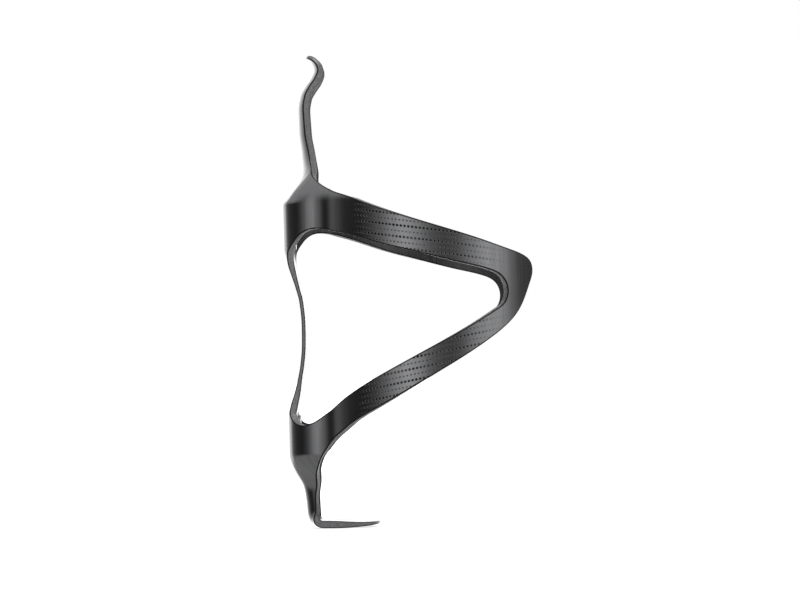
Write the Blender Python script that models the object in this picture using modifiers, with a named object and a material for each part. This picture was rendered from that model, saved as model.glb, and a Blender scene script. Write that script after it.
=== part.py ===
"""Water bottle cage: one carbon sheet moulded round a 73 mm bottle, in five zones, with two bolt seats.

Frame: the origin lies on the back face of the lower mounting pad, on the middle line just under its
bolt slot. X = 0 is the plane that bolts to the bicycle frame, +X points to the open front, +Z up along
the bottle, and the cage is alike either side of Y = 0.

Every carbon piece is a flat pattern laid over one mould surface and then thickened inwards. A point of a
pattern is (t, s) in millimetres: t runs sideways along the mould from the middle plane, s runs up the back
from the lower bolt's axis.
"""
import math

import bmesh
import bpy
import numpy as np
from mathutils import Vector
from mathutils.geometry import delaunay_2d_cdt

MM = 0.001

# Driving dimensions, in millimetres.
BOLT_SPACING = 64.0        # the standard distance between the two frame bosses
AXIS_X = 46.3              # from the mounting plane to the bottle's axis
BOTTLE_RADIUS = 36.6       # inner face of the wings
WALL = 2.3                 # carbon wall of wings, pads and tongue
THIN_WALL = 1.2            # the strip between the two pads
FOOT_TIP_WALL = 0.95       # the foot's free edge
LIP_WALL = 1.4             # the tongue's free edge
ARRIS = 0.45               # rounding along every trimmed edge
GAP = 0.3                  # air between neighbouring pieces
PAD_FLAT = 9.5             # half width of the flat back of a pad
ORIGIN_DROP = 5.0          # the origin lies this far below the lower bolt's axis
SLOT_WIDTH = 5.4           # clears an M5 bolt
LOWER_PLAY = 1.0           # half the distance between the centres of a slot's round ends
UPPER_PLAY = 1.6
SEAT_RADIUS = 5.6          # round ends of the bolt seat plates
SEAT_STRETCH = 1.0         # half the distance between the centres of those ends
SEAT_THICKNESS = 1.0
MESH_STEP = 2.3            # distance between the points of a pattern

OUTER_RADIUS = BOTTLE_RADIUS + WALL
SEAM_ANGLE = math.radians(45.0)       # where a wing's roots meet the spine, back from the side
TONGUE_SEAM = 82.0
FOOT_SEAM = -17.0
STEM_FLAT, STEM_RADIUS = 4.8, 5.0     # half width of the stem's flat middle, radius of its rounded sides
TONGUE_FLAT, TONGUE_RADIUS = 0.0, 14.0
SIDE_LIMIT = math.radians(65.0)       # how far round those sides go

# Cross-section of the mould at a pad, from the middle plane to the wing: (x, y).
PAD_SECTION = [
    (0.0, 0.0), (0.0, PAD_FLAT), (1.0, 13.1), (3.5, 16.1), (7.0, 18.3), (10.5, 19.6), (13.5, 21.3),
    (16.5, 24.9),
]

# Back line of the mould in the middle plane: (s, x).
BACK_LINE = [
    (-17.5, 4.4), (-15.0, 3.8), (-13.0, 2.8), (-11.0, 1.5), (-9.0, 0.5), (-6.5, 0.0), (6.5, 0.0),
    (9.5, 0.8), (13.0, 2.0), (17.0, 3.1), (22.0, 4.1), (28.0, 4.7), (34.0, 4.8), (41.0, 4.3),
    (45.0, 3.4), (50.0, 1.9), (54.0, 0.7), (57.2, 0.0), (70.8, 0.0), (72.5, 1.2), (75.0, 2.7),
    (77.5, 4.2), (80.0, 5.4), (82.5, 5.8), (87.0, 5.7), (93.0, 5.1), (100.0, 5.0), (104.5, 5.8),
    (107.5, 7.5), (110.0, 9.3), (112.5, 10.2), (114.5, 9.5), (116.2, 7.9),
]
# From the foot's seam round the heel and out along the underside of the foot: (x, z).
FOOT_LINE = [
    (4.7, -20.5), (5.0, -24.0), (5.6, -26.0), (7.2, -27.6), (10.0, -28.1), (14.0, -28.2),
    (20.5, -28.0), (27.0, -27.3),
]
FOOT_ARC = (5.0, 14.0)     # distance below the seam at which the heel starts and ends

# Edges of the patterns where the mould faces the bicycle frame: (t, s).
TONGUE_ROOT = 13.0         # half width of the tongue at its seam
TONGUE_EDGE = [(10.2, 85.0), (8.7, 88.0), (8.1, 93.0), (7.7, 99.0), (7.4, 105.0), (7.2, 109.5)]
TONGUE_TIP = [(6.7, 113.2), (5.3, 115.4), (3.4, 116.1), (0.0, 116.2)]
STRIP_EDGE = [(11.0, 52.5), (8.6, 47.0), (7.4, 40.0), (7.1, 32.0), (7.3, 24.0), (8.2, 17.0), (10.5, 10.0)]
FOOT_EDGE = [(10.8, -31.0), (11.0, -38.0), (10.8, -43.0)]
FOOT_TIP = [(9.8, -46.0), (7.2, -47.7), (3.5, -48.3), (0.0, -48.4)]

# Edges of the spine and the stem where the mould has turned forward, in side view: (x, s).
UPPER_ROOT_SIDE = [(9.6, 80.0), (10.6, 78.5), (12.5, 76.5), (15.4, 74.5)]
UPPER_HOLE_SIDE = [(14.4, 62.2), (9.6, 62.9), (6.4, 62.0), (3.6, 59.6), (1.5, 56.5)]
LOWER_HOLE_SIDE = [(1.5, 5.2), (4.5, 3.6), (8.0, 4.5), (11.6, 6.8), (15.5, 9.9)]
LOWER_ROOT_SIDE = [(16.5, 1.5), (14.1, -0.6), (11.9, -3.5), (10.0, -7.0), (8.9, -10.5), (8.5, -14.0)]
STEM_SIDE = [(8.0, FOOT_SEAM), (7.8, -20.0), (7.3, -25.0)]

# Heights at which the wing roots' edges cross their seams.
UPPER_ROOT_TOP, UPPER_ROOT_BOTTOM = 72.9, 61.1
LOWER_ROOT_TOP, LOWER_ROOT_BOTTOM = 12.6, 3.3

# A wing, from its upper root round the front to its lower root, in side view: (x, s).
WING_OUTER_EDGE = [
    (18.9, 72.8), (24.5, 70.4), (36.0, 66.0), (48.0, 62.0), (60.0, 58.0), (68.5, 54.9), (73.0, 53.0),
    (75.0, 51.0), (75.5, 48.5), (74.5, 44.5), (73.0, 40.5), (71.0, 36.5), (67.0, 32.0), (62.0, 28.2),
    (53.0, 22.5), (40.5, 15.5), (28.5, 8.9), (18.9, 3.4),
]
WING_HOLE_EDGE = [
    (18.9, 12.5), (22.5, 14.8), (35.0, 21.5), (47.0, 27.6), (59.0, 34.0), (64.0, 37.0), (66.5, 39.0),
    (67.5, 41.5), (67.2, 44.5), (65.5, 47.0), (62.5, 48.6), (53.5, 51.0), (42.0, 54.1), (30.0, 57.4),
    (18.9, 61.0),
]

CARBON = dict(color=(0.028, 0.029, 0.032), metallic=0.0, roughness=0.36)
STEEL = dict(color=(0.56, 0.56, 0.57), metallic=1.0, roughness=0.32)


def clear_scene():
    for ob in list(bpy.data.objects):
        bpy.data.objects.remove(ob, do_unlink=True)


def make_material(name, color, metallic, roughness):
    material = bpy.data.materials.new(name)
    material.use_nodes = True
    shader = material.node_tree.nodes["Principled BSDF"]
    shader.inputs["Base Color"].default_value = (*color, 1.0)
    shader.inputs["Metallic"].default_value = metallic
    shader.inputs["Roughness"].default_value = roughness
    material.diffuse_color = (*color, 1.0)
    return material


def smoothstep(low, high, value):
    u = min(max((value - low) / (high - low), 0.0), 1.0)
    return u * u * (3 - 2 * u)


def blended(knots, values, at):
    """Cubic interpolation that never overshoots, so that flats stay flat."""
    steps = np.diff(knots)
    slopes = np.diff(values) / steps
    tangents = np.zeros(len(knots))
    for i in range(1, len(knots) - 1):
        if slopes[i - 1] * slopes[i] > 0:
            a = 2 * steps[i] + steps[i - 1]
            b = steps[i] + 2 * steps[i - 1]
            tangents[i] = (a + b) / (a / slopes[i - 1] + b / slopes[i])
    tangents[0] = slopes[0]
    tangents[-1] = slopes[-1]
    i = int(np.clip(np.searchsorted(knots, at) - 1, 0, len(steps) - 1))
    u = (at - knots[i]) / steps[i]
    return ((1 + 2 * u) * (1 - u) ** 2 * values[i] + u * (1 - u) ** 2 * steps[i] * tangents[i]
            + u * u * (3 - 2 * u) * values[i + 1] + u * u * (u - 1) * steps[i] * tangents[i + 1])


def run_along(points):
    """Length from the first point to each one."""
    return np.concatenate([[0.0], np.cumsum(np.hypot(*np.diff(points, axis=0).T))])


SEAM_X = AXIS_X - OUTER_RADIUS * math.sin(SEAM_ANGLE)
SEAM_Y = OUTER_RADIUS * math.cos(SEAM_ANGLE)
SECTION_T = run_along(PAD_SECTION + [(SEAM_X, SEAM_Y)])
SEAM_T = SECTION_T[-1]                # the seam's place along the mould
SEAM_EDGE = SEAM_T - GAP / 2


def wing_circle(t):
    angle = SEAM_ANGLE - (t - SEAM_T) / OUTER_RADIUS
    return AXIS_X - OUTER_RADIUS * math.sin(angle), OUTER_RADIUS * math.cos(angle)


PAD_KNOTS = [(t, x, y) for t, (x, y) in zip(SECTION_T, PAD_SECTION)]
PAD_KNOTS = [(-t, x, -y) for t, x, y in PAD_KNOTS[:0:-1]] + PAD_KNOTS
PAD_KNOTS += [(SEAM_T + d, *wing_circle(SEAM_T + d)) for d in (0.0, 4.0)]


def natural_spline(knots, values):
    """Second derivatives of the natural cubic spline through the knots."""
    n = len(knots)
    h = np.diff(knots)
    matrix = np.eye(n)
    right = np.zeros(n)
    for i in range(1, n - 1):
        matrix[i, i - 1:i + 2] = h[i - 1], 2 * (h[i - 1] + h[i]), h[i]
        right[i] = 6 * ((values[i + 1] - values[i]) / h[i] - (values[i] - values[i - 1]) / h[i - 1])
    return np.linalg.solve(matrix, right)


def spline_at(knots, values, bends, at):
    i = int(np.clip(np.searchsorted(knots, at) - 1, 0, len(knots) - 2))
    h = knots[i + 1] - knots[i]
    a = (knots[i + 1] - at) / h
    b = 1 - a
    bend = (a ** 3 - a) * bends[i] + (b ** 3 - b) * bends[i + 1]
    return a * values[i] + b * values[i + 1] + bend * h * h / 6


PAD_T, PAD_X, PAD_Y = (np.array(column) for column in zip(*PAD_KNOTS))
PAD_Y_BENDS = natural_spline(PAD_T, PAD_Y)
BACK_S, BACK_X = (np.array(column) for column in zip(*BACK_LINE))
FOOT_START = (blended(BACK_S, BACK_X, FOOT_SEAM), FOOT_SEAM)
FOOT_X, FOOT_Z = (np.array(column) for column in zip(FOOT_START, *FOOT_LINE))
FOOT_RUN = run_along([FOOT_START] + FOOT_LINE)
FOOT_X_BENDS = natural_spline(FOOT_RUN, FOOT_X)
FOOT_Z_BENDS = natural_spline(FOOT_RUN, FOOT_Z)


def pad_section(t):
    if t >= SEAM_T:
        return wing_circle(t)
    return blended(PAD_T, PAD_X, t), spline_at(PAD_T, PAD_Y, PAD_Y_BENDS, t)


def channel(t, flat, radius):
    """A flat with rounded sides: how far forward and how far sideways it has come after the length t."""
    turn = min(max(t - flat, 0.0) / radius, SIDE_LIMIT)
    rest = max(t - flat - SIDE_LIMIT * radius, 0.0)
    forward = radius * (1 - math.cos(turn)) + rest * math.sin(turn)
    sideways = min(t, flat) + radius * math.sin(turn) + rest * math.cos(turn)
    return forward, sideways


def mould(t, s):
    """The outer face of the cage at pattern point (t, s), in millimetres."""
    side = math.copysign(1.0, t)
    t = abs(t)
    if s < FOOT_SEAM:
        run = FOOT_SEAM - s
        x = spline_at(FOOT_RUN, FOOT_X, FOOT_X_BENDS, run)
        z = spline_at(FOOT_RUN, FOOT_Z, FOOT_Z_BENDS, run)
        turned = smoothstep(*FOOT_ARC, run)
        deep, y = channel(t, STEM_FLAT, STEM_RADIUS / (1.0 - 0.97 * turned))
        tilt = turned * math.pi / 2
        return x + deep * math.cos(tilt), side * y, z + deep * math.sin(tilt) + ORIGIN_DROP
    back = blended(BACK_S, BACK_X, s)
    padded = smoothstep(FOOT_SEAM, -4.5, s) * (1 - smoothstep(71.0, 90.0, s))
    if s > BOLT_SPACING / 2:
        deep, y = channel(t, TONGUE_FLAT, TONGUE_RADIUS)
    else:
        deep, y = channel(t, STEM_FLAT, STEM_RADIUS)
    pad_x, pad_y = pad_section(t)
    pad_x += back * (1 - smoothstep(PAD_FLAT, 24.0, t))
    x = padded * pad_x + (1 - padded) * (back + deep)
    y = padded * pad_y + (1 - padded) * y
    return x, side * y, s + ORIGIN_DROP


def wing_pattern(x, z):
    """Pattern point of a place on the wing given in side view."""
    angle = math.asin((AXIS_X - x) / OUTER_RADIUS)
    return SEAM_T + (SEAM_ANGLE - angle) * OUTER_RADIUS, z


def from_side(edge):
    """Pattern points of an edge of the spine given in side view, found by halving."""
    pattern = []
    for x, s in edge:
        near, far = 0.0, SEAM_T
        for _ in range(40):
            middle = (near + far) / 2
            if mould(middle, s)[0] < x:
                near = middle
            else:
                far = middle
        pattern.append((near, s))
    return pattern


def smooth_edge(points, step):
    """Points about a step apart along a smooth curve through the given ones."""
    points = np.array(points, float)
    run = run_along(points)
    bends = [natural_spline(run, points[:, k]) for k in (0, 1)]
    count = max(2, round(run[-1] / step) + 1)
    return [tuple(spline_at(run, points[:, k], bends[k], at) for k in (0, 1))
            for at in np.linspace(0.0, run[-1], count)]


def joined(*edges):
    """One closed outline from edges that follow each other; shared end points are kept once."""
    outline = []
    for edge in edges:
        for point in edge:
            if not outline or math.dist(point, outline[-1]) > 1e-6:
                outline.append(point)
    if math.dist(outline[0], outline[-1]) < 1e-6:
        outline.pop()
    return outline


def straight(a, b, step):
    count = max(2, round(math.dist(a, b) / step) + 1)
    return [tuple(p) for p in np.linspace(a, b, count)]


def mirrored(edge):
    return [(-t, s) for t, s in reversed(edge)]


def inside(outline, t, s):
    """Even-odd test of lattice points against a closed outline."""
    result = np.zeros(t.shape, bool)
    for (t0, s0), (t1, s1) in zip(outline, outline[1:] + outline[:1]):
        if s0 == s1:
            continue
        crosses = (s0 > s) != (s1 > s)
        result ^= crosses & (t < (t1 - t0) * (s - s0) / (s1 - s0) + t0)
    return result


def lattice(outline, step):
    """A triangular lattice, even about t = 0, that keeps clear of the outline."""
    ring = np.array(outline)
    low, high = ring.min(axis=0), ring.max(axis=0)
    row_step = step * math.sqrt(3) / 2
    points = []
    for row in range(math.ceil(low[1] / row_step), math.floor(high[1] / row_step) + 1):
        shift = 0.5 * (row % 2)
        first = math.ceil(low[0] / step - shift)
        last = math.floor(high[0] / step - shift)
        points += [((k + shift) * step, row * row_step) for k in range(first, last + 1)]
    points = np.array(points)
    points = points[inside(outline, points[:, 0], points[:, 1])]
    distance = np.full(len(points), np.inf)
    for a, b in zip(ring, np.roll(ring, -1, axis=0)):
        along = np.clip(((points - a) @ (b - a)) / ((b - a) @ (b - a)), 0, 1)
        distance = np.minimum(distance, np.linalg.norm(points - a - along[:, None] * (b - a), axis=1))
    return points[distance > 0.55 * step]


def lay_up(name, outline, wall, collection, pivot=(0.0, 0.0, 0.0)):
    """Cuts the pattern, lays it over the mould and thickens it inwards; wall(t, s) is in millimetres.

    The object's origin is the pivot, a point on the axis that the piece flexes about.
    """
    points = [Vector(p) for p in outline] + [Vector(p) for p in lattice(outline, MESH_STEP)]
    border = [(i, (i + 1) % len(outline)) for i in range(len(outline))]
    flat, _, faces, *_ = delaunay_2d_cdt(points, border, [list(range(len(outline)))], 1, 1e-6)
    mesh = bpy.data.meshes.new(name)
    laid = [tuple(MM * (c - o) for c, o in zip(mould(*p), pivot)) for p in flat]
    mesh.from_pydata(laid, [], [f[::-1] for f in faces])
    ob = bpy.data.objects.new(name, mesh)
    ob.location = [MM * o for o in pivot]
    collection.objects.link(ob)
    mesh.materials.append(make_material(name + "_carbon", **CARBON))
    group = ob.vertex_groups.new(name="wall")
    for index, point in enumerate(flat):
        group.add([index], wall(*point) / WALL, "REPLACE")
    shell = ob.modifiers.new("thickness", "SOLIDIFY")
    shell.thickness = WALL * MM
    shell.offset = -1.0
    shell.use_even_offset = True
    shell.vertex_group = group.name
    rounding = ob.modifiers.new("arris", "BEVEL")
    rounding.width = ARRIS * MM
    rounding.segments = 1
    rounding.limit_method = "ANGLE"
    rounding.angle_limit = math.radians(50.0)
    mesh.shade_smooth()
    return ob


def even_wall(t, s):
    return WALL


def spine_wall(t, s):
    """Full at the pads and wing roots, thinner in the strip between them."""
    strip = smoothstep(8.0, 20.0, s) * (1 - smoothstep(44.0, 56.0, s))
    return WALL + (THIN_WALL - WALL) * strip


def tongue_wall(t, s):
    return WALL + (LIP_WALL - WALL) * smoothstep(111.0, 116.0, s)


def foot_wall(t, s):
    return WALL + (FOOT_TIP_WALL - WALL) * smoothstep(-33.0, -50.0, s)


def slot_bar(name, middle, play, radius, x0, x1, collection):
    """A round-ended bar lying along X, its round ends centred play above and below the middle."""
    mesh = bpy.data.meshes.new(name)
    bm = bmesh.new()
    bmesh.ops.create_cone(bm, cap_ends=True, segments=32, radius1=radius * MM, radius2=radius * MM,
                          depth=(x1 - x0) * MM)
    for vert in bm.verts:
        across, up, along = vert.co.x, vert.co.y, vert.co.z
        height = middle + ORIGIN_DROP + (play if up > 1e-9 else -play)
        vert.co = ((x0 + x1) / 2 * MM + along, across, up + height * MM)
    bm.to_mesh(mesh)
    bm.free()
    ob = bpy.data.objects.new(name, mesh)
    collection.objects.link(ob)
    return ob


def cut(ob, cutter):
    boolean = ob.modifiers.new("slot", "BOOLEAN")
    boolean.operation = "DIFFERENCE"
    boolean.solver = "EXACT"
    boolean.object = cutter


def bolt_seat(name, middle, cutter, collection):
    """A flat plate in the pad's recess, with the pad's slot through it."""
    back = WALL + GAP
    seat = slot_bar(name, middle, SEAT_STRETCH, SEAT_RADIUS, back, back + SEAT_THICKNESS, collection)
    seat.data.materials.append(make_material(name + "_steel", **STEEL))
    cut(seat, cutter)
    return seat


def build():
    clear_scene()
    cage = bpy.data.collections.new("water_bottle_cage")
    tools = bpy.data.collections.new("cutters")
    bpy.context.scene.collection.children.link(cage)
    bpy.context.scene.collection.children.link(tools)

    stem = from_side(STEM_SIDE)
    upper_root = [(TONGUE_ROOT, TONGUE_SEAM - GAP / 2), *from_side(UPPER_ROOT_SIDE),
                  (SEAM_EDGE, UPPER_ROOT_TOP)]
    window = [(SEAM_EDGE, UPPER_ROOT_BOTTOM), *from_side(UPPER_HOLE_SIDE), *STRIP_EDGE,
              *from_side(LOWER_HOLE_SIDE), (SEAM_EDGE, LOWER_ROOT_TOP)]
    lower_root = [(SEAM_EDGE, LOWER_ROOT_BOTTOM), *from_side(LOWER_ROOT_SIDE),
                  (stem[0][0], FOOT_SEAM + GAP / 2)]
    half = joined(smooth_edge(upper_root, MESH_STEP), straight(upper_root[-1], window[0], MESH_STEP),
                  smooth_edge(window, MESH_STEP), straight(window[-1], lower_root[0], MESH_STEP),
                  smooth_edge(lower_root, MESH_STEP))
    outline = joined(half, straight(half[-1], (-half[-1][0], half[-1][1]), MESH_STEP),
                     mirrored(half), straight((-half[0][0], half[0][1]), half[0], MESH_STEP))
    spine = lay_up("spine", outline, spine_wall, cage)

    edge = smooth_edge([(stem[0][0], FOOT_SEAM - GAP / 2)] + stem[1:] + FOOT_EDGE + FOOT_TIP, MESH_STEP)
    end = straight((-edge[0][0], edge[0][1]), edge[0], MESH_STEP)
    lay_up("foot", joined(edge, mirrored(edge), end), foot_wall, cage)

    edge = smooth_edge([(TONGUE_ROOT, TONGUE_SEAM + GAP / 2)] + TONGUE_EDGE + TONGUE_TIP, MESH_STEP)
    end = straight((-edge[0][0], edge[0][1]), edge[0], MESH_STEP)
    pivot = (mould(0.0, TONGUE_SEAM)[0] + WALL / 2, 0.0, TONGUE_SEAM + ORIGIN_DROP)
    lay_up("tongue", joined(edge, mirrored(edge), end), tongue_wall, cage, pivot)

    outer = smooth_edge([wing_pattern(x, z) for x, z in WING_OUTER_EDGE], MESH_STEP)
    hole = smooth_edge([wing_pattern(x, z) for x, z in WING_HOLE_EDGE], MESH_STEP)
    wing = joined(outer, straight(outer[-1], hole[0], MESH_STEP),
                  hole, straight(hole[-1], outer[0], MESH_STEP))
    middle = BOTTLE_RADIUS + WALL / 2
    x = AXIS_X - middle * math.sin(SEAM_ANGLE)
    y = middle * math.cos(SEAM_ANGLE)
    z = (WING_OUTER_EDGE[0][1] + WING_OUTER_EDGE[-1][1]) / 2 + ORIGIN_DROP
    lay_up("left_wing", wing, even_wall, cage, (x, y, z))
    lay_up("right_wing", mirrored(wing), even_wall, cage, (x, -y, z))

    for name, height, play in (("lower", 0.0, LOWER_PLAY), ("upper", BOLT_SPACING, UPPER_PLAY)):
        cutter = slot_bar(name + "_slot_cutter", height, play, SLOT_WIDTH / 2, -5.0, 10.0, tools)
        cutter.hide_render = True
        cutter.display_type = "WIRE"
        cut(spine, cutter)
        bolt_seat(name + "_bolt_seat", height, cutter, cage)


build()
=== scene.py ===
import math

import bpy
import numpy as np
from mathutils import Matrix, Vector
from mathutils.geometry import delaunay_2d_cdt


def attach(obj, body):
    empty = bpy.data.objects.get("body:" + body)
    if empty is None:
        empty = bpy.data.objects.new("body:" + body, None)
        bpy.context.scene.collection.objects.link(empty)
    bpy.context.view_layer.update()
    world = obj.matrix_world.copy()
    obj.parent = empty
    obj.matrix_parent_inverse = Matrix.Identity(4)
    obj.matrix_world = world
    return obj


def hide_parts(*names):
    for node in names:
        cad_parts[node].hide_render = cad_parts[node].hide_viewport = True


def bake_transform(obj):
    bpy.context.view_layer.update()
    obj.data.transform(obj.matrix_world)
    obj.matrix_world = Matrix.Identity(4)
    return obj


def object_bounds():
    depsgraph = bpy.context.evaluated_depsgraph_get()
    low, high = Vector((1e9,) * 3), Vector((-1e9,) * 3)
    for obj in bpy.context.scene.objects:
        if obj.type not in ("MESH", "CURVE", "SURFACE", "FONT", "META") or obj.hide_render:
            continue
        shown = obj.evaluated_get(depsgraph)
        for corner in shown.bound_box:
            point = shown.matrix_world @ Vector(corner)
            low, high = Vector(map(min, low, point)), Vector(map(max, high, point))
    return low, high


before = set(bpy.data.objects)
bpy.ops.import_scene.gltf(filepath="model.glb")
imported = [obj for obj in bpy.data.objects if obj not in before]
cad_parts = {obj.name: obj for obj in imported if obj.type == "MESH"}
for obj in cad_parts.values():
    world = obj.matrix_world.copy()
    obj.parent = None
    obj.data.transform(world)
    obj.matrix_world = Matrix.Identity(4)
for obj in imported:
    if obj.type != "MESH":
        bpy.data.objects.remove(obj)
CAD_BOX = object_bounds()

# The cage's mould, in millimetres: a pattern point (t, s) runs t sideways round the mould from the middle
# plane and s up the back from the lower bolt's axis. These values are those of the CAD part.
MM = 0.001
BOLT_SPACING = 64.0
AXIS_X = 46.3
OUTER_RADIUS = 38.9
WALL = 2.3
THIN_WALL = 1.2
FOOT_TIP_WALL = 0.95
LIP_WALL = 1.4
PAD_FLAT = 9.5
ORIGIN_DROP = 5.0
SLOT_WIDTH = 5.4
SLOTS = ((0.0, 1.0), (BOLT_SPACING, 1.6))
SEAM_ANGLE = math.radians(45.0)
TONGUE_SEAM = 82.0
FOOT_SEAM = -17.0
STEM_FLAT, STEM_RADIUS = 4.8, 5.0
TONGUE_FLAT, TONGUE_RADIUS = 0.0, 14.0
SIDE_LIMIT = math.radians(65.0)
FOOT_ARC = (5.0, 14.0)

ARRIS = 0.42               # radius of the rounded edges
SLOT_ARRIS = 0.22
STEP = 0.8                 # distance between mesh points
CLEAR = 0.6 * STEP         # least distance of an inner mesh point from an edge
NUDGE = 0.02               # for slopes of the mould
TANGENT_REACH = 0.15       # for the direction of an edge
EDGE_SAMPLES = 6001

# Cross-section of a pad (x, y), back line (s, x) and foot line (x, z).
PAD_SECTION = [
    (0.0, 0.0), (0.0, PAD_FLAT), (1.0, 13.1), (3.5, 16.1), (7.0, 18.3), (10.5, 19.6), (13.5, 21.3),
    (16.5, 24.9),
]
BACK_LINE = [
    (-17.5, 4.4), (-15.0, 3.8), (-13.0, 2.8), (-11.0, 1.5), (-9.0, 0.5), (-6.5, 0.0), (6.5, 0.0),
    (9.5, 0.8), (13.0, 2.0), (17.0, 3.1), (22.0, 4.1), (28.0, 4.7), (34.0, 4.8), (41.0, 4.3),
    (45.0, 3.4), (50.0, 1.9), (54.0, 0.7), (57.2, 0.0), (70.8, 0.0), (72.5, 1.2), (75.0, 2.7),
    (77.5, 4.2), (80.0, 5.4), (82.5, 5.8), (87.0, 5.7), (93.0, 5.1), (100.0, 5.0), (104.5, 5.8),
    (107.5, 7.5), (110.0, 9.3), (112.5, 10.2), (114.5, 9.5), (116.2, 7.9),
]
FOOT_LINE = [
    (4.7, -20.5), (5.0, -24.0), (5.6, -26.0), (7.2, -27.6), (10.0, -28.1), (14.0, -28.2),
    (20.5, -28.0), (27.0, -27.3),
]
# Edges of the patterns (t, s).
TONGUE_ROOT = 13.0         # half width of the tongue at its seam
TONGUE_EDGE = [(10.2, 85.0), (8.7, 88.0), (8.1, 93.0), (7.7, 99.0), (7.4, 105.0), (7.2, 109.5)]
TONGUE_TIP = [(6.7, 113.2), (5.3, 115.4), (3.4, 116.1), (0.0, 116.2)]
STRIP_EDGE = [(11.0, 52.5), (8.6, 47.0), (7.4, 40.0), (7.1, 32.0), (7.3, 24.0), (8.2, 17.0), (10.5, 10.0)]
FOOT_EDGE = [(10.8, -31.0), (11.0, -38.0), (10.8, -43.0)]
FOOT_TIP = [(9.8, -46.0), (7.2, -47.7), (3.5, -48.3), (0.0, -48.4)]
# Edges in side view (x, s).
UPPER_ROOT_SIDE = [(9.6, 80.0), (10.6, 78.5), (12.5, 76.5), (15.4, 74.5)]
UPPER_HOLE_SIDE = [(14.4, 62.2), (9.6, 62.9), (6.4, 62.0), (3.6, 59.6), (1.5, 56.5)]
LOWER_HOLE_SIDE = [(1.5, 5.2), (4.5, 3.6), (8.0, 4.5), (11.6, 6.8), (15.5, 9.9)]
LOWER_ROOT_SIDE = [(16.5, 1.5), (14.1, -0.6), (11.9, -3.5), (10.0, -7.0), (8.9, -10.5), (8.5, -14.0)]
STEM_SIDE = [(8.0, FOOT_SEAM), (7.8, -20.0), (7.3, -25.0)]
WING_OUTER_EDGE = [
    (18.9, 72.8), (24.5, 70.4), (36.0, 66.0), (48.0, 62.0), (60.0, 58.0), (68.5, 54.9), (73.0, 53.0),
    (75.0, 51.0), (75.5, 48.5), (74.5, 44.5), (73.0, 40.5), (71.0, 36.5), (67.0, 32.0), (62.0, 28.2),
    (53.0, 22.5), (40.5, 15.5), (28.5, 8.9), (18.9, 3.4),
]
WING_HOLE_EDGE = [
    (18.9, 12.5), (22.5, 14.8), (35.0, 21.5), (47.0, 27.6), (59.0, 34.0), (64.0, 37.0), (66.5, 39.0),
    (67.5, 41.5), (67.2, 44.5), (65.5, 47.0), (62.5, 48.6), (53.5, 51.0), (42.0, 54.1), (30.0, 57.4),
    (18.9, 61.0),
]


def smoothstep(low, high, value):
    u = np.clip((np.asarray(value, float) - low) / (high - low), 0.0, 1.0)
    return u * u * (3 - 2 * u)


class Blended:
    """Cubic interpolation that never overshoots."""

    def __init__(self, knots, values):
        self.k = np.array(knots, float)
        self.v = np.array(values, float)
        self.h = np.diff(self.k)
        slope = np.diff(self.v) / self.h
        m = np.zeros(len(self.k))
        for i in range(1, len(self.k) - 1):
            if slope[i - 1] * slope[i] > 0:
                a = 2 * self.h[i] + self.h[i - 1]
                b = self.h[i] + 2 * self.h[i - 1]
                m[i] = (a + b) / (a / slope[i - 1] + b / slope[i])
        m[0] = slope[0]
        m[-1] = slope[-1]
        self.m = m

    def __call__(self, at):
        i = np.clip(np.searchsorted(self.k, at) - 1, 0, len(self.h) - 1)
        h = self.h[i]
        u = (at - self.k[i]) / h
        return ((1 + 2 * u) * (1 - u) ** 2 * self.v[i] + u * (1 - u) ** 2 * h * self.m[i]
                + u * u * (3 - 2 * u) * self.v[i + 1] + u * u * (u - 1) * h * self.m[i + 1])


class Natural:
    """The natural cubic spline through the knots."""

    def __init__(self, knots, values):
        self.k = np.array(knots, float)
        self.v = np.array(values, float)
        n = len(self.k)
        h = np.diff(self.k)
        matrix = np.eye(n)
        right = np.zeros((n,) + self.v.shape[1:])
        for i in range(1, n - 1):
            matrix[i, i - 1:i + 2] = h[i - 1], 2 * (h[i - 1] + h[i]), h[i]
            right[i] = 6 * ((self.v[i + 1] - self.v[i]) / h[i] - (self.v[i] - self.v[i - 1]) / h[i - 1])
        self.b = np.linalg.solve(matrix, right)

    def __call__(self, at):
        at = np.asarray(at, float)
        i = np.clip(np.searchsorted(self.k, at) - 1, 0, len(self.k) - 2)
        h = self.k[i + 1] - self.k[i]
        a = (self.k[i + 1] - at) / h
        b = 1 - a
        if self.v.ndim > 1:
            a, b, h = a[..., None], b[..., None], h[..., None]
        return (a * self.v[i] + b * self.v[i + 1]
                + ((a ** 3 - a) * self.b[i] + (b ** 3 - b) * self.b[i + 1]) * h * h / 6)


def run_along(points):
    """Length from the first point to each one."""
    return np.concatenate([[0.0], np.cumsum(np.hypot(*np.diff(points, axis=0).T))])


SEAM_POINT = (AXIS_X - OUTER_RADIUS * math.sin(SEAM_ANGLE), OUTER_RADIUS * math.cos(SEAM_ANGLE))
SECTION_T = run_along(PAD_SECTION + [SEAM_POINT])
SEAM_T = SECTION_T[-1]


def wing_circle(t):
    angle = SEAM_ANGLE - (t - SEAM_T) / OUTER_RADIUS
    return AXIS_X - OUTER_RADIUS * np.sin(angle), OUTER_RADIUS * np.cos(angle)


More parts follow.
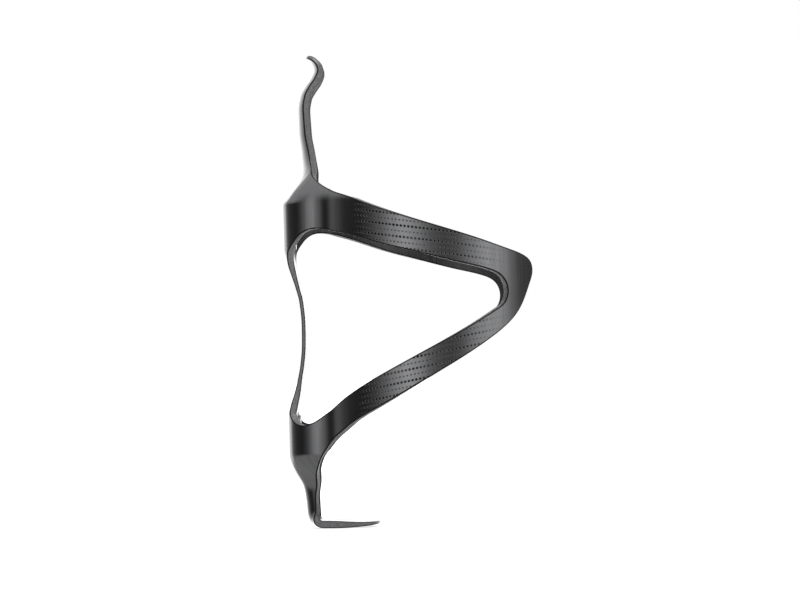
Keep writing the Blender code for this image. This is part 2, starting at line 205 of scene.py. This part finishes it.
KNOTS = [(t, x, y) for t, (x, y) in zip(SECTION_T, PAD_SECTION)]
KNOTS = [(-t, x, -y) for t, x, y in KNOTS[:0:-1]] + KNOTS
KNOTS += [(SEAM_T + d, *wing_circle(SEAM_T + d)) for d in (0.0, 4.0)]
PAD_X = Blended([k[0] for k in KNOTS], [k[1] for k in KNOTS])
PAD_Y = Natural([k[0] for k in KNOTS], [k[2] for k in KNOTS])
BACK = Blended(*zip(*BACK_LINE))
FOOT_POINTS = np.array([(float(BACK(FOOT_SEAM)), FOOT_SEAM)] + FOOT_LINE)
FOOT_RUN = run_along(FOOT_POINTS)
FOOT_XZ = Natural(FOOT_RUN, FOOT_POINTS)


def channel(t, flat, radius):
    """A flat with rounded sides: how far forward and how far sideways it has come after the length t."""
    turn = np.clip((t - flat) / radius, 0.0, SIDE_LIMIT)
    rest = np.maximum(t - flat - SIDE_LIMIT * radius, 0.0)
    forward = radius * (1 - np.cos(turn)) + rest * np.sin(turn)
    sideways = np.minimum(t, flat) + radius * np.sin(turn) + rest * np.cos(turn)
    return forward, sideways


def mould(t, s):
    """Points of the cage's outer face, (n, 3) in millimetres."""
    t = np.asarray(t, float)
    s = np.asarray(s, float)
    side = np.where(t < 0, -1.0, 1.0)
    t = np.abs(t)
    run = np.maximum(FOOT_SEAM - s, 0.0)
    xz = FOOT_XZ(run)
    turned = smoothstep(*FOOT_ARC, run)
    deep, y = channel(t, STEM_FLAT, STEM_RADIUS / (1.0 - 0.97 * turned))
    tilt = turned * math.pi / 2
    foot = np.stack([xz[..., 0] + deep * np.cos(tilt), side * y,
                     xz[..., 1] + deep * np.sin(tilt) + ORIGIN_DROP], -1)
    back = BACK(np.maximum(s, FOOT_SEAM))
    padded = smoothstep(FOOT_SEAM, -4.5, s) * (1 - smoothstep(71.0, 90.0, s))
    deep, y = channel(t, np.where(s > BOLT_SPACING / 2, TONGUE_FLAT, STEM_FLAT),
                      np.where(s > BOLT_SPACING / 2, TONGUE_RADIUS, STEM_RADIUS))
    ring_x, ring_y = wing_circle(t)
    near = t < SEAM_T
    pad_x = np.where(near, PAD_X(np.minimum(t, SEAM_T)), ring_x)
    pad_y = np.where(near, PAD_Y(np.minimum(t, SEAM_T)), ring_y)
    pad_x = pad_x + back * (1 - smoothstep(PAD_FLAT, 24.0, t))
    x = padded * pad_x + (1 - padded) * (back + deep)
    y = padded * pad_y + (1 - padded) * y
    upright = np.stack([x, side * y, s + ORIGIN_DROP], -1)
    return np.where((s < FOOT_SEAM)[..., None], foot, upright)


def unit(v):
    return v / np.maximum(np.linalg.norm(v, axis=-1, keepdims=True), 1e-12)


def outward(surface, t, s):
    """Unit normals of a surface(t, s), pointing away from the bottle."""
    along_t = surface(t + NUDGE, s) - surface(t - NUDGE, s)
    along_s = surface(t, s + NUDGE) - surface(t, s - NUDGE)
    return unit(np.cross(along_s, along_t))


def wall(t, s):
    """Thickness: thinner in the strip between the pads, at the tongue's lip and at the foot's free edge."""
    between_pads = smoothstep(8.0, 20.0, s) * (1 - smoothstep(44.0, 56.0, s))
    strip = between_pads * (1 - smoothstep(13.0, 24.0, np.abs(t)))
    lip = smoothstep(111.0, 116.0, s)
    tip = 1 - smoothstep(-50.0, -33.0, s)
    return WALL + (THIN_WALL - WALL) * strip + (LIP_WALL - WALL) * lip + (FOOT_TIP_WALL - WALL) * tip


def lining(t, s):
    """The inner face."""
    return mould(t, s) - outward(mould, t, s) * wall(t, s)[..., None]


def wing_pattern(x, z):
    """Pattern point of a place on the wing given in side view."""
    angle = math.asin((AXIS_X - x) / OUTER_RADIUS)
    return SEAM_T + (SEAM_ANGLE - angle) * OUTER_RADIUS, z


def from_side(edge):
    """Pattern points of an edge of the spine given in side view, found by halving."""
    x, s = np.array(edge).T
    near, far = np.zeros(len(x)), np.full(len(x), SEAM_T)
    for _ in range(40):
        middle = (near + far) / 2
        short = mould(middle, s)[:, 0] < x
        near, far = np.where(short, middle, near), np.where(short, far, middle)
    return list(zip(near, s))


class Edge:
    """A smooth curve through pattern points, measured by its length."""

    def __init__(self, points, closed=False):
        points = np.array(points, float)
        wrap = 4 if closed else 0
        if closed:
            points = np.concatenate([points[-wrap:], points, points[:wrap + 1]])
        run = run_along(points)
        spline = Natural(run, points)
        low, high = (run[wrap], run[-wrap - 1]) if closed else (run[0], run[-1])
        at = spline(np.linspace(low, high, EDGE_SAMPLES))
        self.run = run_along(at)
        self.at = at
        self.length = self.run[-1]
        self.closed = closed

    def point(self, run):
        run = np.mod(run, self.length) if self.closed else np.clip(run, 0.0, self.length)
        return np.stack([np.interp(run, self.run, self.at[:, k]) for k in (0, 1)], -1)

    def tangent(self, run):
        return unit(self.point(run + TANGENT_REACH) - self.point(run - TANGENT_REACH))

    def crossings(self, axis, value):
        d = self.at[:, axis] - value
        hits = np.nonzero(d[:-1] * d[1:] <= 0)[0]
        return [float(self.run[i] + (self.run[i + 1] - self.run[i]) * d[i] / (d[i] - d[i + 1])) for i in hits]

    def stretch(self, a, b):
        """Points from run a to run b, either way, with the unit directions of travel."""
        count = max(2, round(abs(b - a) / STEP) + 1)
        run = np.linspace(a, b, count)
        return self.point(run), self.tangent(run) * (1.0 if b > a else -1.0)


def seam(a, b):
    """A butt joint: points on a straight line, which get no rounding."""
    count = max(2, round(float(np.hypot(*(b - a))) / STEP) + 1)
    return np.linspace(a, b, count), None


def inside(ring, points):
    """Even-odd test of points against a closed ring."""
    result = np.zeros(len(points), bool)
    for (t0, s0), (t1, s1) in zip(ring, np.roll(ring, -1, axis=0)):
        if s0 == s1:
            continue
        crosses = (s0 > points[:, 1]) != (s1 > points[:, 1])
        result ^= crosses & (points[:, 0] < (t1 - t0) * (points[:, 1] - s0) / (s1 - s0) + t0)
    return result


def clearance(ring, points):
    """Distance of each point from a closed ring."""
    best = np.full(len(points), np.inf)
    for a, b in zip(ring, np.roll(ring, -1, axis=0)):
        d = b - a
        along = np.clip(((points - a) @ d) / max(d @ d, 1e-12), 0, 1)
        best = np.minimum(best, np.linalg.norm(points - a - along[:, None] * d, axis=1))
    return best


def lattice(ring, holes):
    """A triangular lattice of points that keeps clear of the edges."""
    low, high = ring.min(axis=0), ring.max(axis=0)
    row_step = STEP * math.sqrt(3) / 2
    rows = np.arange(math.ceil(low[1] / row_step), math.floor(high[1] / row_step) + 1)
    points = []
    for row in rows:
        shift = 0.5 * (row % 2)
        k = np.arange(math.ceil(low[0] / STEP - shift), math.floor(high[0] / STEP - shift) + 1)
        points.append(np.stack([(k + shift) * STEP, np.full(len(k), row * row_step)], -1))
    points = np.concatenate(points)
    keep = inside(ring, points) & (clearance(ring, points) > CLEAR)
    for hole in holes:
        keep &= ~inside(hole, points) & (clearance(hole, points) > CLEAR)
    return points[keep]


def rounded_profile(radius, depth):
    """Steps across a trimmed edge from the outer face to the inner: (outwards, through the wall, slope)."""
    arcs = np.radians([15, 30, 45, 60, 75, 90])
    rows = [(radius * math.sin(a), radius * (1 - math.cos(a)), a) for a in arcs]
    inner = [(radius * math.sin(a), depth - radius * (1 - math.cos(a)), math.pi - a) for a in arcs[::-1]]
    middle = [(radius, radius + (depth - 2 * radius) * f, math.pi / 2) for f in (0.25, 0.5, 0.75)]
    return rows + middle + inner


def moulding(name, ring_parts, holes, materials):
    """One carbon piece: outer face, inner face, rounded trimmed edges and butt joints, as a closed mesh.

    ring_parts are stretches in order round the pattern with the piece on their left; holes are single
    stretches that close on themselves.
    """
    loops = []
    for parts, radius in [(ring_parts, ARRIS)] + [([hole], SLOT_ARRIS) for hole in holes]:
        points, ways = [], []
        for at, way in parts:
            if way is None:
                at = at[1:-1]
                way = np.zeros_like(at)
            elif points and np.allclose(points[-1][-1], at[0]):
                at, way = at[1:], way[1:]
            points.append(at)
            ways.append(way)
        points, ways = np.concatenate(points), np.concatenate(ways)
        if np.allclose(points[0], points[-1]):
            points, ways = points[:-1], ways[:-1]
        free = np.linalg.norm(ways, axis=1) > 0.5
        out = np.stack([ways[:, 1], -ways[:, 0]], -1)
        trimmed = points - out * radius
        if not free.all():
            # a butt joint runs straight between the trimmed corners next to it
            n = len(points)
            starts = [k for k in range(n) if not free[k] and free[k - 1]]
            for k in starts:
                m = k
                while not free[m % n]:
                    m += 1
                a, b = trimmed[k - 1], trimmed[m % n]
                for j in range(k, m):
                    trimmed[j % n] = a + (b - a) * (j - k + 1) / (m - k + 1)
        loops.append((trimmed, ways, free, radius))
    rings = [loop[0] for loop in loops]
    points = np.concatenate(rings + [lattice(rings[0], rings[1:])])
    border, base = [], 0
    for ring in rings:
        border += [(base + i, base + (i + 1) % len(ring)) for i in range(len(ring))]
        base += len(ring)
    flat, _, faces, *_ = delaunay_2d_cdt([Vector(p) for p in points], border, [], 0, 1e-7)
    flat = np.array([tuple(p) for p in flat])
    if len(flat) != len(points) or not np.allclose(flat, points, atol=1e-4):
        raise RuntimeError(name + " has crossing edges")
    faces = np.array([f for f in faces])
    centre = flat[faces].mean(axis=1)
    keep = inside(rings[0], centre)
    for ring in rings[1:]:
        keep &= ~inside(ring, centre)
    faces = faces[keep]
    t, s = flat[:, 0], flat[:, 1]
    n = len(flat)
    outer_normals = outward(mould, t, s)
    inner_normals = -outward(lining, t, s)
    depth = wall(t, s)
    outer = mould(t, s)
    co = [outer, outer - outer_normals * depth[:, None]]
    normals = [outer_normals, inner_normals]
    pattern = [flat, flat]
    rim = [np.zeros((n, 2)), np.zeros((n, 2))]
    rim[1][:, 1] = 1.0
    polys = [tuple(f[::-1]) for f in faces] + [tuple(f + n) for f in faces]
    kinds = [0] * len(faces) + [2] * len(faces)
    base, total = 0, 2 * n
    for trimmed, ways, free, radius in loops:
        m = len(trimmed)
        run = run_along(trimmed)
        at, dt = trimmed, ways * NUDGE
        after, before = at + dt, at - dt
        ahead = unit(mould(after[:, 0], after[:, 1]) - mould(before[:, 0], before[:, 1]))
        normal = outer_normals[base:base + m]
        out = unit(np.cross(normal, ahead))
        for side in rim[:2]:
            side[base:base + m, 0] = run * 0.01
        rows = {}
        for i in range(m):
            if not free[i]:
                continue
            profile = rounded_profile(radius, depth[base + i])
            p = np.array([outer[base + i] + out[i] * o - normal[i] * d for o, d, _ in profile])
            q = np.array([out[i] * math.sin(a) + normal[i] * math.cos(a) for _, _, a in profile])
            rows[i] = [base + i] + list(range(total, total + len(p))) + [base + i + n]
            co.append(p)
            normals.append(q)
            pattern.append(np.repeat(flat[base + i][None], len(p), 0))
            rim.append(np.array([(run[i] * 0.01, (k + 1) / (len(p) + 1)) for k in range(len(p))]))
            total += len(p)
        for i in range(m):
            j = (i + 1) % m
            if i in rows and j in rows:
                for k in range(len(rows[i]) - 1):
                    polys.append((rows[i][k], rows[j][k], rows[j][k + 1], rows[i][k + 1]))
                    kinds.append(1)
            else:
                polys.append((base + i, base + j, base + j + n, base + i + n))
                kinds.append(1)
                for end, way in ((i, -1), (j, 1)):
                    if end in rows:
                        polys.append(tuple(rows[end][::way]))
                        kinds.append(1)
        base += m
    co = np.concatenate(co) * MM
    normals = np.concatenate(normals)
    pattern = np.concatenate(pattern)
    rim = np.concatenate(rim)
    mesh = bpy.data.meshes.new(name)
    mesh.from_pydata(co.tolist(), [], polys)
    mesh.update()
    ob = bpy.data.objects.new(name, mesh)
    bpy.context.scene.collection.objects.link(ob)
    for material in materials:
        mesh.materials.append(material)
    mesh.polygons.foreach_set("material_index", kinds)
    mesh.polygons.foreach_set("use_smooth", [True] * len(polys))
    corner = np.empty(len(mesh.loops), int)
    mesh.loops.foreach_get("vertex_index", corner)
    for label, values in (("pattern", pattern * 0.01), ("rim", rim)):
        layer = mesh.uv_layers.new(name=label)
        layer.data.foreach_set("uv", values[corner].astype(np.float32).ravel())
    mesh.normals_split_custom_set_from_vertices(normals.tolist())
    return ob


# ---------------------------------------------------------------- outlines
OUTER = Edge(
    TONGUE_TIP[::-1] + TONGUE_EDGE[::-1] + [(TONGUE_ROOT, TONGUE_SEAM)] + from_side(UPPER_ROOT_SIDE)
    + [wing_pattern(x, s) for x, s in WING_OUTER_EDGE]
    + from_side(LOWER_ROOT_SIDE) + from_side(STEM_SIDE) + FOOT_EDGE + FOOT_TIP)
HOLE = Edge(
    [wing_pattern(x, s) for x, s in WING_HOLE_EDGE] + from_side(UPPER_HOLE_SIDE)
    + STRIP_EDGE + from_side(LOWER_HOLE_SIDE), closed=True)
TO_TONGUE = OUTER.crossings(1, TONGUE_SEAM)[0]
TO_UPPER, TO_LOWER = OUTER.crossings(0, SEAM_T)
HOLE_UPPER, HOLE_LOWER = HOLE.crossings(0, SEAM_T)

UPPER_CORNER, LOWER_CORNER = OUTER.point(TO_UPPER), OUTER.point(TO_LOWER)
UPPER_INSIDE, LOWER_INSIDE = HOLE.point(HOLE_UPPER), HOLE.point(HOLE_LOWER)
TONGUE_CORNER = OUTER.point(TO_TONGUE)
MIRROR = np.array((-1.0, 1.0))


def slot_outline(middle, play):
    """A round-ended slot, run clockwise."""
    points, ways = [], []
    for centre, first in ((middle + play, 180.0), (middle - play, 0.0)):
        for angle in np.radians(first - np.arange(0, 181, 9)):
            points.append((SLOT_WIDTH / 2 * math.cos(angle), centre + SLOT_WIDTH / 2 * math.sin(angle)))
            ways.append((math.sin(angle), -math.cos(angle)))
    return np.array(points), np.array(ways)


def other_side(parts):
    """A ring's parts mirrored to the other side of the middle plane, still with the piece on their left."""
    return [(at[::-1] * MIRROR, None if way is None else way[::-1] * (1, -1)) for at, way in parts[::-1]]


HALF = [
    OUTER.stretch(OUTER.length, TO_LOWER), seam(LOWER_CORNER, LOWER_INSIDE),
    HOLE.stretch(HOLE_LOWER, HOLE_UPPER), seam(UPPER_INSIDE, UPPER_CORNER),
    OUTER.stretch(TO_UPPER, TO_TONGUE),
]
WING = [
    OUTER.stretch(TO_LOWER, TO_UPPER), seam(UPPER_CORNER, UPPER_INSIDE),
    HOLE.stretch(HOLE_UPPER, HOLE_LOWER - HOLE.length), seam(LOWER_INSIDE, LOWER_CORNER),
]
RISE = [OUTER.stretch(TO_TONGUE, 0.0)]

# ---------------------------------------------------------------- materials
# Rows of pits, in millimetres: height of a strong row at the middle plane and its rise along the mould.
UPPER_ROWS = (71.0, -0.15)
LOWER_ROWS = (6.0, 0.175)
ROW_STEP = 1.67
PIT_PITCH = 1.15
PIT_RADIUS = 0.36


class Graph:
    """A small helper for building a node tree."""

    def __init__(self, tree):
        self.tree = tree

    def add(self, kind, inputs=(), **settings):
        node = self.tree.nodes.new(kind)
        for key, value in settings.items():
            setattr(node, key, value)
        for key, value in dict(inputs).items():
            if isinstance(value, bpy.types.NodeSocket):
                self.tree.links.new(value, node.inputs[key])
            else:
                node.inputs[key].default_value = value
        return node

    def math(self, operation, *values, clamp=False):
        node = self.add("ShaderNodeMath", dict(enumerate(values)), operation=operation, use_clamp=clamp)
        return node.outputs[0]

    def ramp(self, value, low, high, to_low=0.0, to_high=1.0, kind="SMOOTHSTEP"):
        inputs = {"Value": value, "From Min": low, "From Max": high, "To Min": to_low, "To Max": to_high}
        return self.add("ShaderNodeMapRange", inputs, interpolation_type=kind).outputs["Result"]

    def noise(self, vector, scale, detail=3.0, roughness=0.55, distortion=0.0):
        stretched = self.add("ShaderNodeVectorMath", {0: vector, 1: scale}, operation="MULTIPLY").outputs[0]
        inputs = {"Vector": stretched, "Scale": 1.0, "Detail": detail, "Roughness": roughness,
                  "Distortion": distortion}
        return self.add("ShaderNodeTexNoise", inputs).outputs[0]

    def blend(self, factor, low, high):
        node = self.add("ShaderNodeMix", data_type="RGBA")
        for key, value in ((0, factor), (6, low), (7, high)):
            if isinstance(value, bpy.types.NodeSocket):
                self.tree.links.new(value, node.inputs[key])
            else:
                node.inputs[key].default_value = value
        return node.outputs[2]


def grey(level, blue=1.03):
    return (level, level * 1.005, level * blue, 1.0)


def new_material(name):
    material = bpy.data.materials.new(name)
    material.use_nodes = True
    graph = Graph(material.node_tree)
    shader = material.node_tree.nodes["Principled BSDF"]
    return material, graph, shader


def carbon_skin(name):
    """Satin one-way carbon: fine fibres that run up the mould, and rows of small pits across the wings."""
    material, g, shader = new_material(name)
    uv = g.add("ShaderNodeUVMap", uv_map="pattern").outputs[0]
    fibres = g.noise(uv, (300.0, 7.0, 1.0), 4.0, 0.62)
    bundles = g.noise(uv, (62.0, 2.5, 1.0), 2.0, 0.5)
    clouds = g.noise(uv, (9.0, 7.0, 1.0), 2.0, 0.5)
    split = g.add("ShaderNodeSeparateXYZ", {0: uv})
    across = g.math("MULTIPLY", g.math("ABSOLUTE", split.outputs[0]), 100.0)
    up = g.math("MULTIPLY", split.outputs[1], 100.0)
    upper = g.math("GREATER_THAN", up, 43.0)
    # rows of pits: those of the upper arm fall towards the front, those of the lower arm rise
    rise = g.math("MULTIPLY_ADD", upper, UPPER_ROWS[1] - LOWER_ROWS[1], LOWER_ROWS[1])
    first = g.math("MULTIPLY_ADD", upper, UPPER_ROWS[0] - LOWER_ROWS[0], LOWER_ROWS[0])
    level = g.math("SUBTRACT", up, g.math("MULTIPLY", across, rise))
    row_at = g.math("ADD", g.math("DIVIDE", g.math("SUBTRACT", level, first), ROW_STEP), 0.5)
    row = g.math("FLOOR", row_at)
    weak = g.math("ABSOLUTE", g.math("MODULO", row, 2.0))
    along = g.math("ADD", g.math("DIVIDE", across, PIT_PITCH), g.math("MULTIPLY", row, 0.37))
    du = g.math("MULTIPLY", g.math("SUBTRACT", g.math("FRACT", along), 0.5), PIT_PITCH)
    dv = g.math("MULTIPLY", g.math("SUBTRACT", g.math("FRACT", row_at), 0.5), ROW_STEP)
    away = g.math("SQRT", g.math("ADD", g.math("MULTIPLY", du, du), g.math("MULTIPLY", dv, dv)))
    away = g.math("MULTIPLY", away, g.math("MULTIPLY_ADD", weak, 0.45, 1.0))
    pit = g.ramp(away, 0.7 * PIT_RADIUS, 1.2 * PIT_RADIUS, 1.0, 0.0)
    start = g.ramp(across, 39.0, 44.0)
    stop = g.ramp(across, 70.0, 92.0, 1.0, 0.0)
    patchy = g.ramp(g.noise(uv, (11.0, 17.0, 1.0), 1.0, 0.5), 0.36, 0.6, 0.7, 1.0)
    weight = g.math("MULTIPLY", g.math("MULTIPLY", start, stop), g.ramp(weak, 0.0, 1.0, 1.0, 0.7, "LINEAR"))
    pit = g.math("MULTIPLY", g.math("MULTIPLY", pit, weight), patchy)
    tone = g.math("ADD", g.math("MULTIPLY", fibres, 0.7), g.math("MULTIPLY", bundles, 0.3))
    colour = g.blend(g.ramp(tone, 0.3, 0.7), grey(0.235), grey(0.30))
    colour = g.blend(pit, colour, grey(0.008))
    g.tree.links.new(colour, shader.inputs["Base Color"])
    g.tree.links.new(g.ramp(clouds, 0.3, 0.7, 0.19, 0.22, "LINEAR"), shader.inputs["Roughness"])
    shader.inputs["Metallic"].default_value = 1.0
    relief = g.math("SUBTRACT", g.math("MULTIPLY", fibres, 0.06), pit)
    bump = g.add("ShaderNodeBump", {"Strength": 1.0, "Distance": 0.00006, "Height": relief})
    g.tree.links.new(bump.outputs[0], shader.inputs["Normal"])
    return material


def bare_resin(name):
    """The inner face: glossy black resin over the weave."""
    material, g, shader = new_material(name)
    uv = g.add("ShaderNodeUVMap", uv_map="pattern").outputs[0]
    weave = g.noise(uv, (90.0, 30.0, 1.0), 3.0, 0.6)
    clouds = g.noise(uv, (8.0, 6.0, 1.0), 2.0, 0.5)
    g.tree.links.new(g.blend(g.ramp(weave, 0.3, 0.7), grey(0.018), grey(0.032)), shader.inputs["Base Color"])
    g.tree.links.new(g.ramp(clouds, 0.3, 0.7, 0.22, 0.30, "LINEAR"), shader.inputs["Roughness"])
    bump = g.add("ShaderNodeBump", {"Strength": 0.5, "Distance": 0.00003, "Height": weave})
    g.tree.links.new(bump.outputs[0], shader.inputs["Normal"])
    return material


def trimmed_edge(name):
    """The cut edge: grainy grey laminate between two dark rounded corners."""
    material, g, shader = new_material(name)
    uv = g.add("ShaderNodeUVMap", uv_map="rim").outputs[0]
    split = g.add("ShaderNodeSeparateXYZ", {0: uv})
    place = split.outputs[1]
    grain = g.noise(uv, (160.0, 5.0, 1.0), 4.0, 0.7)
    plies = g.noise(uv, (3.0, 9.0, 1.0), 2.0, 0.5)
    face = g.math("MULTIPLY", g.ramp(place, 0.26, 0.36), g.ramp(place, 0.64, 0.76, 1.0, 0.0))
    tone = g.math("ADD", g.math("MULTIPLY", grain, 0.75), g.math("MULTIPLY", plies, 0.25))
    laminate = g.blend(g.ramp(tone, 0.3, 0.7), grey(0.13), grey(0.24))
    colour = g.blend(face, grey(0.010), laminate)
    g.tree.links.new(colour, shader.inputs["Base Color"])
    g.tree.links.new(g.ramp(face, 0.0, 1.0, 0.26, 0.5, "LINEAR"), shader.inputs["Roughness"])
    shader.inputs["Metallic"].default_value = 0.6
    bump = g.add("ShaderNodeBump", {"Strength": 1.0, "Distance": 0.00005,
                                    "Height": g.math("MULTIPLY", grain, face)})
    g.tree.links.new(bump.outputs[0], shader.inputs["Normal"])
    return material


def brushed_steel(name):
    material, g, shader = new_material(name)
    at = g.add("ShaderNodeTexCoord").outputs["Object"]
    lines = g.noise(at, (900.0, 26000.0, 700.0), 3.0, 0.6)
    stains = g.noise(at, (350.0, 350.0, 350.0), 2.0, 0.5)
    g.tree.links.new(g.blend(g.ramp(lines, 0.3, 0.7), grey(0.48, 0.99), grey(0.60, 0.99)),
                     shader.inputs["Base Color"])
    g.tree.links.new(g.ramp(stains, 0.3, 0.7, 0.28, 0.40, "LINEAR"), shader.inputs["Roughness"])
    shader.inputs["Metallic"].default_value = 1.0
    bump = g.add("ShaderNodeBump", {"Strength": 0.6, "Distance": 0.00002, "Height": lines})
    g.tree.links.new(bump.outputs[0], shader.inputs["Normal"])
    return material


# ---------------------------------------------------------------- pieces
skin = carbon_skin("satin_carbon")
edge = trimmed_edge("trimmed_carbon")
resin = bare_resin("bare_resin")
steel = brushed_steel("brushed_bolt_seat")

back = moulding("carbon_back", HALF + [seam(TONGUE_CORNER, TONGUE_CORNER * MIRROR)] + other_side(HALF),
                [slot_outline(*slot) for slot in SLOTS], (skin, edge, resin))
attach(back, "frame")
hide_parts("spine", "foot")

tongue = moulding("carbon_tongue", RISE + other_side(RISE) + [seam(TONGUE_CORNER * MIRROR, TONGUE_CORNER)],
                  [], (skin, edge, resin))
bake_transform(tongue)
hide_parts("tongue")

for name, ring in (("left_wing", WING), ("right_wing", other_side(WING))):
    wing = moulding("carbon_" + name, ring, [], (skin, edge, resin))
    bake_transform(wing)
    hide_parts(name)

for name in ("lower_bolt_seat", "upper_bolt_seat"):
    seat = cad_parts[name]
    seat.data.materials.clear()
    seat.data.materials.append(steel)

# ---------------------------------------------------------------- studio
scene = bpy.context.scene
scene.view_settings.view_transform = "Standard"

FLOOR_SIZE = 60.0
FLOOR_DROP = 0.0001        # keeps the floor just under the foot
FLOOR_GLOW = 0.7           # lightens the shadow under the foot
bpy.ops.mesh.primitive_plane_add(size=FLOOR_SIZE, location=(0.0, 0.0, CAD_BOX[0][2] - FLOOR_DROP))
floor = bpy.context.object
floor.name = "floor"
floor.visible_glossy = False
paper, g, shader = new_material("white_paper")
grain = g.noise(g.add("ShaderNodeTexCoord").outputs["Object"], (900.0, 900.0, 900.0), 2.0)
g.tree.links.new(g.blend(grain, (0.90, 0.90, 0.90, 1), (0.94, 0.94, 0.94, 1)), shader.inputs["Base Color"])
shader.inputs["Roughness"].default_value = 1.0
shader.inputs["Specular IOR Level"].default_value = 0.0
shader.inputs["Emission Color"].default_value = (1.0, 1.0, 1.0, 1.0)
shader.inputs["Emission Strength"].default_value = FLOOR_GLOW
floor.data.materials.append(paper)

# Brightness of the studio round the horizon: (degrees from straight in front towards the left, level).
ROUND = [
    (-180, 2.6), (-150, 1.5), (-130, 0.8), (-110, 0.2), (-95, 0.1), (-80, 0.15), (-70, 0.45), (-62, 0.8),
    (-50, 0.95), (-42, 0.85), (-33, 0.6), (-26, 0.35), (-18, 0.15), (-8, 0.12), (2, 0.2), (10, 0.4),
    (18, 0.75), (27, 1.05), (33, 0.9), (43, 0.5), (52, 0.25), (62, 0.08), (72, 0.03), (88, 0.05),
    (100, 0.12), (112, 0.3), (125, 0.6), (135, 1.15), (147, 2.0), (175, 2.6), (180, 2.6),
]
PEAK = 2.6
# The levels that take over from that above, overhead and below: (sine of the height from, to, level).
ABOVE = (0.08, 0.60, 0.6)
OVERHEAD = (0.88, 0.97, 4.0)
BELOW = (-0.25, -0.45, 0.4)
world = bpy.data.worlds.new("studio")
world.use_nodes = True
scene.world = world
g = Graph(world.node_tree)
ray = g.add("ShaderNodeSeparateXYZ", {0: g.add("ShaderNodeTexCoord").outputs["Generated"]})
left = g.math("MULTIPLY", ray.outputs[0], -1.0)
front = g.math("MULTIPLY", ray.outputs[1], -1.0)
turn = g.math("ARCTAN2", left, front)
place = g.math("MULTIPLY_ADD", turn, 1 / (2 * math.pi), 0.5)
around = g.add("ShaderNodeValToRGB", {0: place})
stops = around.color_ramp.elements
while len(stops) > 1:
    stops.remove(stops[0])
for k, (angle, shade) in enumerate(ROUND):
    stop = stops[0] if k == 0 else stops.new(angle / 360 + 0.5)
    stop.position = angle / 360 + 0.5
    stop.color = (shade / PEAK, shade / PEAK, shade / PEAK, 1.0)
height = ray.outputs[2]
level = g.math("MULTIPLY", around.outputs[0], PEAK)
for start, full, other in (ABOVE, OVERHEAD, BELOW):
    blend = g.ramp(height, start, full)
    kept = g.math("MULTIPLY", level, g.math("SUBTRACT", 1.0, blend))
    level = g.math("ADD", kept, g.math("MULTIPLY", blend, other))
seen = g.add("ShaderNodeLightPath").outputs["Is Camera Ray"]
level = g.math("ADD", g.math("MULTIPLY", level, g.math("SUBTRACT", 1.0, seen)), seen)
g.tree.links.new(level, g.tree.nodes["Background"].inputs["Color"])

# ---------------------------------------------------------------- camera
TARGET = Vector((0.0352, 0.0, 0.0459))
DISTANCE = 1.130
LENS = 165.26
YAW, LIFT, ROLL = math.radians(0.4), math.radians(-1.136), math.radians(1.6)
away = Vector((math.sin(YAW) * math.cos(LIFT), -math.cos(YAW) * math.cos(LIFT), math.sin(LIFT)))
right = Vector((math.cos(YAW), math.sin(YAW), 0.0))
top = away.cross(right)
camera_data = bpy.data.cameras.new("camera")
camera_data.sensor_width = 36.0
camera_data.lens = LENS
camera_data.shift_x = -0.5 / 800
camera_data.shift_y = 0.5 / 800
camera = bpy.data.objects.new("camera", camera_data)
scene.collection.objects.link(camera)
x_axis = right * math.cos(ROLL) - top * math.sin(ROLL)
y_axis = right * math.sin(ROLL) + top * math.cos(ROLL)
turned = Matrix((x_axis, y_axis, away)).transposed().to_4x4()
camera.matrix_world = Matrix.Translation(TARGET + away * DISTANCE) @ turned
scene.camera = camera

bpy.context.view_layer.update()
